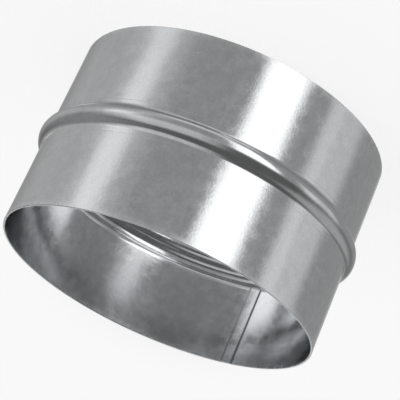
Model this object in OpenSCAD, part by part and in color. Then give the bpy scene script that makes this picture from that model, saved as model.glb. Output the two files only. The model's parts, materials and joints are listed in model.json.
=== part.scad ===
// Duct connector sleeve: one strip of galvanised sheet rolled into a tube, joined
// by a squeezed lap seam and beaded round its middle.
// It joins two ducts end to end. A duct slides over each spigot up to the bead.
// The sleeve stands on its lower rim: the origin is the centre of that rim,
// +Z runs up the axis, and the seam is on the +Y side. Millimetres.

/* [Spigots] */
// Outer diameter of both spigots, a sliding fit inside a 125 mm duct
spigot_d = 124; // [60:0.5:315]
// Thickness of the sheet
sheet_t = 0.8; // [0.5:0.1:1.2]
// Length of the lower spigot, from its rim to the foot of the bead
lower_len = 33; // [15:0.5:80]
// Length of the upper spigot, from its rim to the foot of the bead
upper_len = 33; // [15:0.5:80]

/* [Bead] */
// Height of the bead's crown above the spigots
bead_h = 2.8; // [1.6:0.1:3.6]
// Outer radius of the bead's rounded crown
crown_r = 3.9; // [3:0.1:6]
// Outer radius of the hollow corner where the bead leaves a spigot
foot_r = 2.2; // [1.4:0.1:4]

/* [Rims] */
// Rounding of the cut edges at both rims
edge_r = 0.2; // [0.1:0.05:0.2]

/* [Seam] */
// Width of the lap where the ends of the strip overlap
lap_w = 5; // [3:0.5:12]
// Height of the squeezed lap above the inner wall
lap_step = 0.4; // [0.2:0.1:0.7]

/* [Hidden] */
$fn = 180;
wall_r = spigot_d / 2;
centre_gap = crown_r + foot_r;
bead_half_w = sqrt(pow(centre_gap, 2) - pow(centre_gap - bead_h, 2));
bead_z = lower_len + bead_half_w;
total_len = lower_len + 2 * bead_half_w + upper_len;
crown_centre = [wall_r + bead_h - crown_r, bead_z];
foot_offset = wall_r + foot_r;
lap_angle = lap_w / wall_r * 180 / PI;
seam_direction = 90;
// How deep in the sheet the lap begins, so that it grows out of solid metal
lap_root = sheet_t / 2;
overshoot = 1;

// Half section of everything that lies inside the surface at this depth below
// the outer face, from height z0 to z1. The bead is a crown arc that meets a
// foot arc on either side on a common tangent. A deeper surface keeps the same
// arc centres, so the sheet has one thickness all the way over the bead.
module half_section(depth, z0, z1) {
    translate([0, z0]) square([wall_r - depth, z1 - z0]);
    translate(crown_centre) circle(r = crown_r - depth);
    difference() {
        polygon([
            [wall_r - sheet_t - overshoot - depth, bead_z - bead_half_w],
            [foot_offset, bead_z - bead_half_w],
            crown_centre,
            [foot_offset, bead_z + bead_half_w],
            [wall_r - sheet_t - overshoot - depth, bead_z + bead_half_w]
        ]);
        for (side = [-1, 1])
            translate([foot_offset, bead_z + side * bead_half_w]) circle(r = foot_r + depth);
    }
}

// Section of the sheet from one depth to another, without the rounded ends.
module sheet_section(depth_out, depth_in) {
    difference() {
        half_section(depth_out, edge_r, total_len - edge_r);
        half_section(depth_in, -overshoot, total_len + overshoot);
    }
}

// Cut edge of the sheet at the lower rim, with both of its corners rounded.
module rim_section() {
    translate([wall_r - sheet_t + edge_r, 0]) square([sheet_t - 2 * edge_r, 2 * edge_r]);
    for (r = [wall_r - sheet_t + edge_r, wall_r - edge_r])
        translate([r, edge_r]) circle(r = edge_r);
}

// The rolled and beaded tube.
module tube() {
    rotate_extrude() {
        sheet_section(0, sheet_t);
        rim_section();
        translate([0, total_len]) mirror([0, 1]) rim_section();
    }
}

// The squeezed lap: a low band along the inside, over the bead as well.
module seam_lap() {
    rotate([0, 0, seam_direction - lap_angle / 2])
        rotate_extrude(angle = lap_angle)
            sheet_section(lap_root, sheet_t + lap_step);
}

module sleeve() {
    color([0.78, 0.79, 0.8]) {
        tube();
        seam_lap();
    }
}

sleeve();
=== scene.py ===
import json
import math

import bpy
import numpy as np
from mathutils import Matrix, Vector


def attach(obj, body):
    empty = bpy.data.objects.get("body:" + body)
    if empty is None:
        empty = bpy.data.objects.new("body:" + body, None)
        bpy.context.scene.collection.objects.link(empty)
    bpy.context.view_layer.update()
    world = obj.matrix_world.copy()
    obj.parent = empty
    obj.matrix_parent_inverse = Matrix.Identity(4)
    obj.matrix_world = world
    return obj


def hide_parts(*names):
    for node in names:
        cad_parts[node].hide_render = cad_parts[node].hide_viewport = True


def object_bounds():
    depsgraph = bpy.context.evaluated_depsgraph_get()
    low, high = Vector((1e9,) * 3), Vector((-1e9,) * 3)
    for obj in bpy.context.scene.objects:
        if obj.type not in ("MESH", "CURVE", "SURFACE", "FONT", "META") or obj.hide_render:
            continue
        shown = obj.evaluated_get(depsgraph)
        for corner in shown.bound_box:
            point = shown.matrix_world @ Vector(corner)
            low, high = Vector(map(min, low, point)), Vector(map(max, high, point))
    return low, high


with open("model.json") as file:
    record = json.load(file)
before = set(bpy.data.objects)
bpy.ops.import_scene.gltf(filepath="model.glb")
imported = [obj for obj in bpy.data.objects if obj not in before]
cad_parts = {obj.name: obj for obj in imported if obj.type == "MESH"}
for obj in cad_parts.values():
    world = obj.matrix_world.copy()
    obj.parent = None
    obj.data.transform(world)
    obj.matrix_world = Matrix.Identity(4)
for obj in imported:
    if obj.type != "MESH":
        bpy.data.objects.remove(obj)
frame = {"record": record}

bl_info = {
    "name": "Duct connector sleeve",
    "version": (1, 0, 0),
    "blender": (4, 5, 0),
    "location": "3D View > Sidebar > Sleeve",
    "description": "A beaded duct connector in galvanised sheet, and the studio it stands in",
    "category": "Object",
}

MM = 0.001
NODE = "sleeve"
FRAME_LOW, FRAME_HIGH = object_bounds()
SPIGOT_RADIUS = MM * next(
    m["dims"]["r_mm"] for m in frame["record"]["mounts"] if m["name"] == "upper_spigot")
TUBE_LENGTH = FRAME_HIGH.z - FRAME_LOW.z
BEAD_HEIGHT = FRAME_HIGH.x - SPIGOT_RADIUS


class SleeveSizes(bpy.types.PropertyGroup):
    """Sizes of the rolled sheet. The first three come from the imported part."""

    spigot_radius: bpy.props.FloatProperty(
        name="Spigot radius", description="Outer radius of both spigots",
        default=SPIGOT_RADIUS, precision=5, unit="LENGTH")
    length: bpy.props.FloatProperty(
        name="Length", description="From rim to rim",
        default=TUBE_LENGTH, precision=5, unit="LENGTH")
    bead_height: bpy.props.FloatProperty(
        name="Bead height", description="Height of the bead's crown above the spigots",
        default=BEAD_HEIGHT, precision=5, unit="LENGTH")
    sheet: bpy.props.FloatProperty(
        name="Sheet", description="Thickness of the sheet",
        default=0.8 * MM, precision=5, unit="LENGTH")
    crown_radius: bpy.props.FloatProperty(
        name="Crown radius", description="Outer radius of the bead's rounded crown",
        default=3.9 * MM, precision=5, unit="LENGTH")
    foot_radius: bpy.props.FloatProperty(
        name="Foot radius", description="Outer radius of the hollow corner beside the bead",
        default=2.2 * MM, precision=5, unit="LENGTH")
    edge_radius: bpy.props.FloatProperty(
        name="Edge radius", description="Rounding of the cut edges",
        default=0.2 * MM, precision=5, unit="LENGTH")
    roller_mark: bpy.props.FloatProperty(
        name="Roller mark", description="Distance of the beading rollers' marks from the bead's middle",
        default=6.8 * MM, precision=5, unit="LENGTH")
    lap_width: bpy.props.FloatProperty(
        name="Lap width", description="Width of the lap seam's band inside the tube",
        default=5.0 * MM, precision=5, unit="LENGTH")
    lap_step: bpy.props.FloatProperty(
        name="Lap step", description="Height of the lap seam's band above the inner wall",
        default=0.4 * MM, precision=5, unit="LENGTH")
    lap_direction: bpy.props.FloatProperty(
        name="Lap direction", description="Where the lap seam lies round the tube",
        default=math.radians(90.0), subtype="ANGLE")
    segments: bpy.props.IntProperty(
        name="Segments", description="Steps round the tube, apart from those at the seam",
        default=400, min=90)


class SheetFinish(bpy.types.PropertyGroup):
    """Look of the galvanised sheet."""

    zinc_colour: bpy.props.FloatVectorProperty(
        name="Zinc", description="Colour of the bright zinc",
        default=(0.78, 0.79, 0.80), size=3, min=0.0, max=1.0, subtype="COLOR")
    grain_size: bpy.props.FloatProperty(
        name="Grain", description="Size of the fine zinc grains",
        default=0.8 * MM, precision=5, unit="LENGTH")
    grain_depth: bpy.props.FloatProperty(
        name="Grain depth", description="Height of the fine zinc grains",
        default=0.016 * MM, precision=7, unit="LENGTH")
    mottle_size: bpy.props.FloatProperty(
        name="Mottle", description="Size of the cloudy patches in the zinc",
        default=4.0 * MM, precision=5, unit="LENGTH")
    mottle_depth: bpy.props.FloatProperty(
        name="Mottle depth", description="Height of the cloudy patches",
        default=0.03 * MM, precision=7, unit="LENGTH")
    line_depth: bpy.props.FloatProperty(
        name="Rolling lines", description="Height of the fine lines that rolling leaves",
        default=0.004 * MM, precision=7, unit="LENGTH")
    spangle_size: bpy.props.FloatProperty(
        name="Spangle", description="Size of the zinc crystals",
        default=3.0 * MM, precision=5, unit="LENGTH")
    roughness: bpy.props.FloatProperty(
        name="Roughness", description="Mean roughness of the zinc",
        default=0.16, min=0.0, max=1.0, subtype="FACTOR")


class StudioSettings(bpy.types.PropertyGroup):
    """Floor, light and camera."""

    heading: bpy.props.FloatProperty(
        name="Heading", description="Direction in which the camera looks, from +X towards +Y",
        default=math.radians(52.31), subtype="ANGLE")
    dip: bpy.props.FloatProperty(
        name="Dip", description="How far the camera looks down",
        default=math.radians(21.6), subtype="ANGLE")
    roll: bpy.props.FloatProperty(
        name="Roll", description="Turn of the camera round its line of sight",
        default=math.radians(203.95), subtype="ANGLE")
    camera_place: bpy.props.FloatVectorProperty(
        name="Camera place", description="Where the camera stands",
        default=(-0.3011, -0.3877, 0.2297), size=3, subtype="TRANSLATION", unit="LENGTH")
    lens: bpy.props.FloatProperty(
        name="Lens", description="Focal length in millimetres", default=124.3)
    key_strength: bpy.props.FloatProperty(
        name="Key light", description="Strength of the soft key light", default=3.0)


SEAM_REACH = 24.0
WAVE_SLOPE = 0.0016


def arc(centre, radius, start, end, steps):
    """Points on a circle round centre, from start to end in degrees, with both ends."""
    angle = np.radians(np.linspace(start, end, steps + 1))
    return np.stack([centre[0] + radius * np.cos(angle), centre[1] + radius * np.sin(angle)], 1)


def wall(radius, heights):
    """Points of one radius at the given heights."""
    return np.stack([np.full(len(heights), radius), heights], 1)


def wall_heights(start, end, marks, spacing=2.2 * MM, guard=0.06 * MM, mark_reach=0.6 * MM):
    """Heights between two ends of a straight wall, without the ends themselves.

    They are spaced evenly, with one close to each end, so that the round corner's
    shading stays off the wall, and with a fine set round each mark.
    """
    low, high = sorted((start, end))
    even = np.linspace(low, high, max(2, round((high - low) / spacing)) + 1)[1:-1]
    fine = [mark + np.linspace(-mark_reach, mark_reach, 9) for mark in marks]
    clear = even[np.min([np.abs(even - m) for m in marks], 0) > mark_reach] if marks else even
    heights = np.sort(np.concatenate([[low + guard, high - guard], clear, *fine]))
    return heights if start < end else heights[::-1]


def sheet_section(sizes):
    """Closed section of the sheet as radius and height, and the inner side's share.

    It runs up the outside and down the inside. Each side is straight walls joined by
    a foot arc, the crown arc and a foot arc on common tangents; both sides share the
    arcs' centres, so the sheet has one thickness. The four corners are small arcs.
    """
    r, t, edge = sizes.spigot_radius, sizes.sheet, sizes.edge_radius
    crown, foot = sizes.crown_radius, sizes.foot_radius
    gap = crown + foot
    half = math.sqrt(gap ** 2 - (gap - sizes.bead_height) ** 2)
    tilt = math.degrees(math.asin(half / gap))
    middle = sizes.length / 2
    top = sizes.length
    crown_centre = (r + sizes.bead_height - crown, middle)
    low_centre, high_centre = (r + foot, middle - half), (r + foot, middle + half)
    marks = (middle - sizes.roller_mark, middle + sizes.roller_mark)
    outside = [
        arc((r - edge, edge), edge, -90, 0, 5),
        wall(r, wall_heights(edge, middle - half, marks[:1])),
        arc(low_centre, foot, 180, 180 - tilt, 10),
        arc(crown_centre, crown, -tilt, tilt, 24)[1:],
        arc(high_centre, foot, 180 + tilt, 180, 10)[1:],
        wall(r, wall_heights(middle + half, top - edge, marks[1:])),
        arc((r - edge, top - edge), edge, 0, 90, 5),
    ]
    inside = [
        arc((r - t + edge, top - edge), edge, 90, 180, 5),
        wall(r - t, wall_heights(top - edge, middle + half, ())),
        arc(high_centre, foot + t, 180, 180 + tilt, 10),
        arc(crown_centre, crown - t, tilt, -tilt, 20)[1:],
        arc(low_centre, foot + t, 180 - tilt, 180, 10)[1:],
        wall(r - t, wall_heights(middle - half, edge, ())),
        arc((r - t + edge, edge), edge, 180, 270, 5),
    ]
    points = np.concatenate(outside + inside)
    inner = np.arange(len(points)) >= sum(map(len, outside))
    return points, inner.astype(float)


def smooth(low, high, x):
    """0 below low, 1 above high, and the smooth cubic between them."""
    t = np.clip((x - low) / (high - low), 0.0, 1.0)
    return t * t * (3.0 - 2.0 * t)


def bump(x, centre, reach):
    """A smooth hill of height 1 at centre, that ends at reach on either side."""
    t = np.clip(np.abs(x - centre) / reach, 0.0, 1.0)
    return (1.0 - t * t) ** 2


def turns(sizes):
    """Angles round the tube: even steps, half steps by the seam, fine ones at the lap."""
    start = sizes.lap_direction
    step = 2 * math.pi / sizes.segments
    near = math.radians(SEAM_REACH)
    close = np.arange(-near, near, step / 2)
    rest = np.arange(near, 2 * math.pi - near, step)
    even = start + np.concatenate([close, rest])
    half = sizes.lap_width / 2 / sizes.spigot_radius
    fine = np.radians(np.linspace(-0.3, 0.3, 9))
    edges = [start + side * half + fine for side in (-1, 1)]
    clear = np.min([np.abs(even - e.mean()) for e in edges], 0) > fine[-1] + 0.003
    return np.sort(np.concatenate([even[clear], *edges]))


def waves(turn, height, radius):
    """Shallow unevenness of hand-fed sheet: a sum of long plane waves on the wall.

    Each wave goes a whole number of times round the tube, so it closes on itself, and
    is a sine of the angle and of the height with its own phase.
    """
    draw = np.random.default_rng(11)
    total = np.zeros_like(turn)
    for rounds in (3, 5, 8, 9, 13, 16, 19, 23, 28):
        climb = draw.uniform(-1.0, 1.0) * 2 * math.pi / (34 * MM)
        phase = draw.uniform(0.0, 2 * math.pi)
        slope = math.hypot(rounds / radius, climb)
        total += np.sin(rounds * turn + climb * height + phase) / slope
    return total


def sleeve_surface(sizes):
    """The sheet as a grid of points: section carried round the axis.

    A point is the section's point moved along the section's own normal by a relief,
    which is a function of the angle and of the height, and then turned to its angle.
    The relief is the lap band on the inside, the rollers' marks on the outside, and
    the shallow waves on both sides alike.
    """
    section, inner = sheet_section(sizes)
    angle = turns(sizes)
    along = np.roll(section, -1, 0) - np.roll(section, 1, 0)
    normal = np.stack([along[:, 1], -along[:, 0]], 1)
    normal /= np.linalg.norm(normal, axis=1)[:, None]
    turn, height = np.meshgrid(angle, section[:, 1], indexing="ij")
    side = inner[None, :]
    off_lap = (turn - sizes.lap_direction) * sizes.spigot_radius
    bevel = 0.12 * MM
    half_lap = sizes.lap_width / 2
    lap = smooth(-half_lap - bevel, -half_lap + bevel, off_lap)
    lap = lap - smooth(half_lap - bevel, half_lap + bevel, off_lap)
    relief = lap * sizes.lap_step * side
    middle = sizes.length / 2
    mark = bump(np.abs(height - middle), sizes.roller_mark, 0.35 * MM)
    relief = relief - 0.03 * MM * mark * (1.0 - side)
    from_rim = np.minimum(height, sizes.length - height)
    free = smooth(0.0, 4 * MM, from_rim)
    relief = relief + WAVE_SLOPE * free * waves(turn, height, sizes.spigot_radius) * (1 - 2 * side)
    corner = np.minimum(section[:, 1], sizes.length - section[:, 1]) < sizes.edge_radius
    normal[corner] = np.stack([1.0 - 2.0 * inner[corner], np.zeros(corner.sum())], 1)
    radius = section[:, 0] + relief * normal[:, 0]
    place = height + relief * normal[:, 1]
    points = np.stack([radius * np.cos(turn), radius * np.sin(turn), place], -1)
    return points, turn, height, side + 0.0 * turn, off_lap, section


def torus_mesh(name, points):
    """A mesh whose faces join each point of a grid with its neighbours, round both ways."""
    rows, columns = points.shape[:2]
    index = np.arange(rows * columns).reshape(rows, columns)
    ahead = np.roll(index, -1, 0)
    corners = np.stack([index, ahead, np.roll(ahead, -1, 1), np.roll(index, -1, 1)], -1)
    corners = corners.reshape(-1, 4)
    mesh = bpy.data.meshes.new(name)
    mesh.vertices.add(rows * columns)
    mesh.vertices.foreach_set("co", points.astype(np.float32).ravel())
    mesh.loops.add(corners.size)
    mesh.loops.foreach_set("vertex_index", corners.astype(np.int32).ravel())
    mesh.polygons.add(len(corners))
    mesh.polygons.foreach_set("loop_start", np.arange(0, corners.size, 4, dtype=np.int32))
    mesh.update(calc_edges=True)
    mesh.shade_smooth()
    mesh.validate()
    return mesh


class Nodes:
    """Shorthand for a material's nodes and their links."""

    def __init__(self, tree):
        self.tree = tree
        tree.nodes.clear()

    def add(self, kind, inputs=None, **settings):
        """A node with its settings, and its inputs set to values or linked to sockets."""
        node = self.tree.nodes.new("ShaderNode" + kind)
        for name, value in settings.items():
            setattr(node, name, value)
        for name, value in (inputs or {}).items():
            if isinstance(value, bpy.types.NodeSocket):
                self.tree.links.new(value, node.inputs[name])
            else:
                node.inputs[name].default_value = value
        return node

    def math(self, operation, first, second=0.0):
        return self.add("Math", {0: first, 1: second}, operation=operation).outputs[0]

    def remap(self, value, low, high, new_low, new_high):
        inputs = {"Value": value, "From Min": low, "From Max": high, "To Min": new_low, "To Max": new_high}
        return self.add("MapRange", inputs).outputs["Result"]


def galvanised_material(finish):
    """Bright zinc on steel sheet: fine grains, faint spangles, rolling lines and wear, with a
    painted highlight on the cut edges and painted shade along the lap band's edges inside.

    The height of the bump is a sum, in metres, of the fine grain, a coarser mottle and
    the rolling lines that run round the tube.
    """
    material = bpy.data.materials.new("galvanised_sheet")
    material.use_nodes = True
    n = Nodes(material.node_tree)
    place = n.add("TexCoord").outputs["Object"]
    sheet = n.add("UVMap", uv_map="sheet").outputs["UV"]
    grain_scale = 1.0 / finish.grain_size
    grain = n.add("TexNoise", {
        "Vector": place, "Scale": grain_scale, "Detail": 2.0, "Roughness": 0.6})
    mottle = n.add("TexNoise", {
        "Vector": place, "Scale": 1.0 / finish.mottle_size, "Detail": 3.0, "Roughness": 0.55})
    crystal = n.add("TexVoronoi", {
        "Vector": place, "Scale": 1.0 / finish.spangle_size, "Randomness": 1.0})
    tone = n.add("SeparateColor", {"Color": crystal.outputs["Color"]}).outputs["Red"]
    rolling = n.add("Mapping", {"Vector": sheet, "Scale": (60.0, 420.0, 1.0)}, vector_type="POINT")
    lines = n.add("TexNoise", {
        "Vector": rolling.outputs[0], "Scale": 1.0, "Detail": 2.0, "Roughness": 0.7})
    cut = n.add("Attribute", attribute_name="cut_edge_wear_and_highlight").outputs["Fac"]
    rolled = n.add("Attribute", attribute_name="rolled").outputs["Fac"]
    lap_painted_shade = n.add("Attribute", attribute_name="lap_painted_shade").outputs["Fac"]

    height = n.math("MULTIPLY", grain.outputs["Fac"], finish.grain_depth)
    height = n.math("ADD", height, n.math("MULTIPLY", mottle.outputs["Fac"], finish.mottle_depth))
    height = n.math("ADD", height, n.math("MULTIPLY", lines.outputs["Fac"], finish.line_depth))
    relief = n.add("Bump", {"Strength": 1.0, "Distance": 1.0, "Height": height})

    shade = n.remap(tone, 0.0, 1.0, 0.96, 1.02)
    shade = n.math("MULTIPLY", shade, n.remap(mottle.outputs["Fac"], 0.25, 0.75, 0.95, 1.04))
    shade = n.math("MULTIPLY", shade, n.remap(grain.outputs["Fac"], 0.25, 0.75, 0.94, 1.05))
    # Painted highlight: the cut edges' colour is made brighter; their roughness below is their real wear.
    shade = n.math("MULTIPLY", shade, n.remap(cut, 0.0, 1.0, 1.0, 1.12))
    # Painted shade: the zinc is darkened along the edges of the lap band inside, where the step casts
    # shade.
    shade = n.math("MULTIPLY", shade, n.remap(lap_painted_shade, 0.0, 1.0, 1.0, 0.55))
    zinc = n.add("Mix", {"Factor": 1.0, "A": (*finish.zinc_colour, 1.0), "B": shade},
                 data_type="RGBA", blend_type="MULTIPLY")

    rough = n.remap(mottle.outputs["Fac"], 0.25, 0.75, finish.roughness - 0.03, finish.roughness + 0.03)
    rough = n.math("ADD", rough, n.remap(tone, 0.0, 1.0, -0.02, 0.02))
    rough = n.math("ADD", rough, n.remap(rolled, 0.0, 1.0, 0.0, -0.02))
    rough = n.math("ADD", rough, n.remap(cut, 0.0, 1.0, 0.0, 0.12))
    shader = n.add("BsdfPrincipled", {
        "Base Color": zinc.outputs["Result"], "Metallic": 1.0, "Roughness": rough,
        "Normal": relief.outputs["Normal"]})
    n.add("OutputMaterial", {"Surface": shader.outputs[0]})
    return material


def add_attribute(mesh, name, values):
    """A number for every vertex, for the materials."""
    layer = mesh.attributes.new(name, "FLOAT", "POINT")
    layer.data.foreach_set("value", values.astype(np.float32).ravel())


def add_map(mesh, turn, section):
    """UV map of the unrolled sheet: share of the turn across, of the section's path up."""
    rows, columns = turn.shape
    path = np.linalg.norm(np.roll(section, -1, 0) - section, axis=1)
    up = np.concatenate([[0.0], np.cumsum(path)]) / path.sum()
    across = np.append((turn[:, 0] - turn[0, 0]) / (2 * math.pi), 1.0)
    row, column = np.divmod(np.arange(rows * columns), columns)
    corners = [(row, column), (row + 1, column), (row + 1, column + 1), (row, column + 1)]
    places = np.stack([np.stack([across[r], up[c]], -1) for r, c in corners], 1)
    layer = mesh.uv_layers.new(name="sheet")
    layer.uv.foreach_set("vector", places.astype(np.float32).ravel())


class SLEEVE_OT_form(bpy.types.Operator):
    """Form the sleeve from its sizes and give it the galvanised finish"""

    bl_idname = "sleeve.form"
    bl_label = "Form the sleeve"

    def execute(self, context):
        sizes = context.scene.sleeve_sizes
        points, turn, height, side, off_lap, section = sleeve_surface(sizes)
        mesh = torus_mesh("sleeve_sheet", points)
        add_map(mesh, turn, section)
        from_rim = np.minimum(height, sizes.length - height)
        # Cut edges: real wear in the roughness, and a painted highlight in their colour.
        add_attribute(mesh, "cut_edge_wear_and_highlight", 1.0 - smooth(0.1 * MM, 0.9 * MM, from_rim))
        from_bead = np.abs(height - sizes.length / 2)
        add_attribute(mesh, "rolled", 1.0 - smooth(5.0 * MM, 8.5 * MM, from_bead))
        half_lap = sizes.lap_width / 2
        # Painted shade along the lap band's edges inside, which darkens the zinc there.
        lap_painted_shade = bump(np.abs(off_lap), half_lap, 0.8 * MM) * side
        add_attribute(mesh, "lap_painted_shade", lap_painted_shade)
        piece = bpy.data.objects.new("sleeve_sheet", mesh)
        context.scene.collection.objects.link(piece)
        mesh.materials.append(galvanised_material(context.scene.sheet_finish))
        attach(piece, "root")
        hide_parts(NODE)
        return {"FINISHED"}


def camera_matrix(studio):
    """Camera turned by heading and dip, rolled round its line of sight, at its place."""
    turn = Matrix.Rotation(studio.heading - math.radians(90.0), 4, "Z")
    pitch = Matrix.Rotation(math.radians(90.0) - studio.dip, 4, "X")
    roll = Matrix.Rotation(studio.roll, 4, "Z")
    return Matrix.Translation(studio.camera_place) @ turn @ pitch @ roll


# Lights of the studio as the metal sees them. Each is a soft-edged patch of the sky or
# of the ground: name, direction, width, elevation, height, blur across, blur up and
# strength. Angles are in degrees, and direction is counted from the camera's heading, so
# 0 is behind the sleeve and 180 behind the camera. The first set is what the sheet
# reflects directly, the second what is left after a turn inside the tube.
OPEN_LIGHTS = (
    ("pale_ground", 0, 360, -50, 100, 1, 14, 0.19),
    ("broad_strip", 156, 33, -36, 64, 4, 12, 1.15),
    ("narrow_strip", 111, 13, -16, 40, 4, 20, 0.42),
    ("side_panel", 93, 24, -16, 40, 6, 16, 0.28),
    ("near_strip", 251, 19, -18, 24, 5, 10, 0.38),
    ("near_panel", 250, 40, -20, 90, 14, 24, 0.2),
    ("high_panel", 218, 70, 22, 56, 18, 14, 0.42),
    ("right_wall", 295, 56, 12, 100, 18, 20, 0.14),
    ("left_wall", 60, 80, 38, 50, 20, 15, 0.28),
    ("back_wall", 2, 28, -20, 60, 12, 20, 0.45),
    ("back_panel", 0, 30, 24, 30, 8, 8, 0.4),
    ("low_panel", 230, 200, -82, 30, 30, 10, 0.35),
)
TURNED_LIGHTS = (
    ("pale_ground", 0, 360, -50, 100, 1, 14, 0.17),
    ("broad_strip", 162, 46, -36, 64, 6, 12, 1.2),
    ("open_end", -47, 30, -17, 40, 12, 14, 0.8),
)
SHADE = 0.11


def studio_lights(nodes, link, heading, azimuth, elevation, lights):
    """Brightness seen in a direction: the shade, and every light's share of it.

    A light's share is a smooth step of the distance across from its middle times the
    same of the distance up, so that it is full inside and fades over its blur.
    """

    def math_node(operation, first, second=0.0):
        node = nodes.new("ShaderNodeMath")
        node.operation = operation
        for socket, value in zip(node.inputs, (first, second)):
            if isinstance(value, bpy.types.NodeSocket):
                link(value, socket)
            else:
                socket.default_value = value
        return node.outputs[0]

    def share(distance, reach, blur):
        node = nodes.new("ShaderNodeMapRange")
        node.interpolation_type = "SMOOTHSTEP"
        link(distance, node.inputs["Value"])
        node.inputs["From Min"].default_value = math.radians(reach - blur)
        node.inputs["From Max"].default_value = math.radians(reach + blur)
        node.inputs["To Min"].default_value = 1.0
        node.inputs["To Max"].default_value = 0.0
        return node.outputs[0]

    total = SHADE
    for name, middle, width, height, rise, blur_across, blur_up, strength in lights:
        off = math_node("SUBTRACT", azimuth, heading + math.radians(middle))
        wrapped = nodes.new("ShaderNodeMath")
        wrapped.operation = "WRAP"
        link(off, wrapped.inputs[0])
        wrapped.inputs[1].default_value = math.pi
        wrapped.inputs[2].default_value = -math.pi
        across = share(math_node("ABSOLUTE", wrapped.outputs[0]), width / 2, blur_across)
        lift = math_node("ABSOLUTE", math_node("SUBTRACT", elevation, math.radians(height)))
        both = math_node("MULTIPLY", across, share(lift, rise / 2, blur_up))
        both.node.label = name
        total = math_node("ADD", total, math_node("MULTIPLY", both, strength))
    return total


def studio_world(heading):
    """Surroundings: white behind the object, a plain soft sky for the floor, and for
    the metal the studio's lights by the direction in which it sees them."""
    world = bpy.data.worlds.new("studio")
    world.use_nodes = True
    world.cycles.sampling_method = "NONE"
    nodes, link = world.node_tree.nodes, world.node_tree.links.new
    nodes.clear()
    direction = nodes.new("ShaderNodeSeparateXYZ")
    link(nodes.new("ShaderNodeTexCoord").outputs["Generated"], direction.inputs[0])
    azimuth = nodes.new("ShaderNodeMath")
    azimuth.operation = "ARCTAN2"
    link(direction.outputs["Y"], azimuth.inputs[0])
    link(direction.outputs["X"], azimuth.inputs[1])
    elevation = nodes.new("ShaderNodeMath")
    elevation.operation = "ARCSINE"
    link(direction.outputs["Z"], elevation.inputs[0])
    path = nodes.new("ShaderNodeLightPath")
    seen = [
        studio_lights(nodes, link, heading, azimuth.outputs[0], elevation.outputs[0], lights)
        for lights in (OPEN_LIGHTS, TURNED_LIGHTS)
    ]
    turned = nodes.new("ShaderNodeMath")
    turned.operation = "GREATER_THAN"
    link(path.outputs["Glossy Depth"], turned.inputs[0])
    turned.inputs[1].default_value = 1.5
    metal = nodes.new("ShaderNodeMix")
    link(turned.outputs[0], metal.inputs["Factor"])
    link(seen[0], metal.inputs["A"])
    link(seen[1], metal.inputs["B"])
    soft = nodes.new("ShaderNodeMix")
    link(path.outputs["Is Glossy Ray"], soft.inputs["Factor"])
    soft.inputs["A"].default_value = SKY
    link(metal.outputs["Result"], soft.inputs["B"])
    clear = nodes.new("ShaderNodeMath")
    clear.operation = "MAXIMUM"
    link(path.outputs["Is Camera Ray"], clear.inputs[0])
    link(path.outputs["Is Transmission Ray"], clear.inputs[1])
    strength = nodes.new("ShaderNodeMix")
    link(clear.outputs[0], strength.inputs["Factor"])
    link(soft.outputs["Result"], strength.inputs["A"])
    strength.inputs["B"].default_value = 1.0
    background = nodes.new("ShaderNodeBackground")
    background.inputs["Color"].default_value = (1.0, 1.0, 1.0, 1.0)
    link(strength.outputs["Result"], background.inputs["Strength"])
    output = nodes.new("ShaderNodeOutputWorld")
    link(background.outputs[0], output.inputs["Surface"])
    return world


SKY = 0.32


def floor_material():
    """Pale floor: its own glow keeps it white, and its diffuse share takes the shadow."""
    material = bpy.data.materials.new("floor")
    material.use_nodes = True
    nodes, link = material.node_tree.nodes, material.node_tree.links.new
    nodes.clear()
    diffuse = nodes.new("ShaderNodeBsdfDiffuse")
    diffuse.inputs["Color"].default_value = (0.9, 0.9, 0.9, 1.0)
    glow = nodes.new("ShaderNodeEmission")
    glow.inputs["Strength"].default_value = 0.38
    both = nodes.new("ShaderNodeAddShader")
    link(diffuse.outputs[0], both.inputs[0])
    link(glow.outputs[0], both.inputs[1])
    output = nodes.new("ShaderNodeOutputMaterial")
    link(both.outputs[0], output.inputs["Surface"])
    return material


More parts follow.
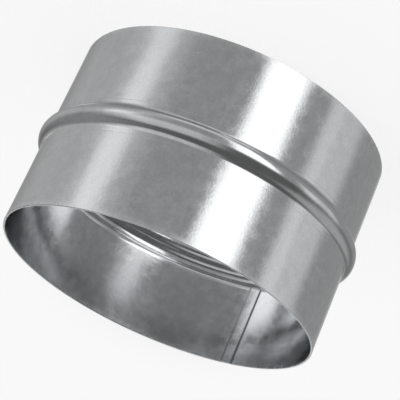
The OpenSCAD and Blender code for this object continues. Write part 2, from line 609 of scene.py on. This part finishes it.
class SLEEVE_OT_stage(bpy.types.Operator):
    """Set up the floor, the studio's light and the camera"""

    bl_idname = "sleeve.stage"
    bl_label = "Set up the stage"

    def execute(self, context):
        studio = context.scene.studio_settings
        link = context.scene.collection.objects.link
        lens = bpy.data.cameras.new("camera")
        lens.lens = studio.lens
        camera = bpy.data.objects.new("camera", lens)
        camera.matrix_world = camera_matrix(studio)
        link(camera)
        context.scene.camera = camera
        context.scene.view_settings.view_transform = "Standard"
        context.scene.world = studio_world(studio.heading)
        reach = 6.0
        mesh = bpy.data.meshes.new("floor")
        corners = [(-reach, -reach, 0), (reach, -reach, 0), (reach, reach, 0), (-reach, reach, 0)]
        mesh.from_pydata(corners, [], [(0, 1, 2, 3)])
        mesh.materials.append(floor_material())
        floor = bpy.data.objects.new("floor", mesh)
        floor.visible_glossy = False
        floor.visible_shadow = False
        link(floor)
        key = bpy.data.lights.new("key", "SUN")
        key.energy = studio.key_strength
        key.angle = math.radians(14.0)
        lamp = bpy.data.objects.new("key", key)
        lamp.rotation_euler = (math.radians(90.0 - 19.0), 0.0, studio.heading - math.radians(90.0))
        lamp.visible_glossy = False
        link(lamp)
        return {"FINISHED"}


class SLEEVE_PT_panel(bpy.types.Panel):
    """Sleeve and stage in the sidebar"""

    bl_idname = "SLEEVE_PT_panel"
    bl_label = "Duct connector sleeve"
    bl_space_type = "VIEW_3D"
    bl_region_type = "UI"
    bl_category = "Sleeve"

    def draw(self, context):
        for group in ("sleeve_sizes", "sheet_finish", "studio_settings"):
            settings = getattr(context.scene, group)
            for name in settings.__annotations__:
                self.layout.prop(settings, name)
        self.layout.operator("sleeve.form")
        self.layout.operator("sleeve.stage")


GROUPS = {"sleeve_sizes": SleeveSizes, "sheet_finish": SheetFinish, "studio_settings": StudioSettings}
CLASSES = (*GROUPS.values(), SLEEVE_OT_form, SLEEVE_OT_stage, SLEEVE_PT_panel)


def register():
    for kind in CLASSES:
        bpy.utils.register_class(kind)
    for name, kind in GROUPS.items():
        setattr(bpy.types.Scene, name, bpy.props.PointerProperty(type=kind))


def unregister():
    for name in GROUPS:
        delattr(bpy.types.Scene, name)
    for kind in reversed(CLASSES):
        bpy.utils.unregister_class(kind)


def main():
    register()
    bpy.ops.sleeve.stage()
    bpy.ops.sleeve.form()


if __name__ == "__main__":
    main()
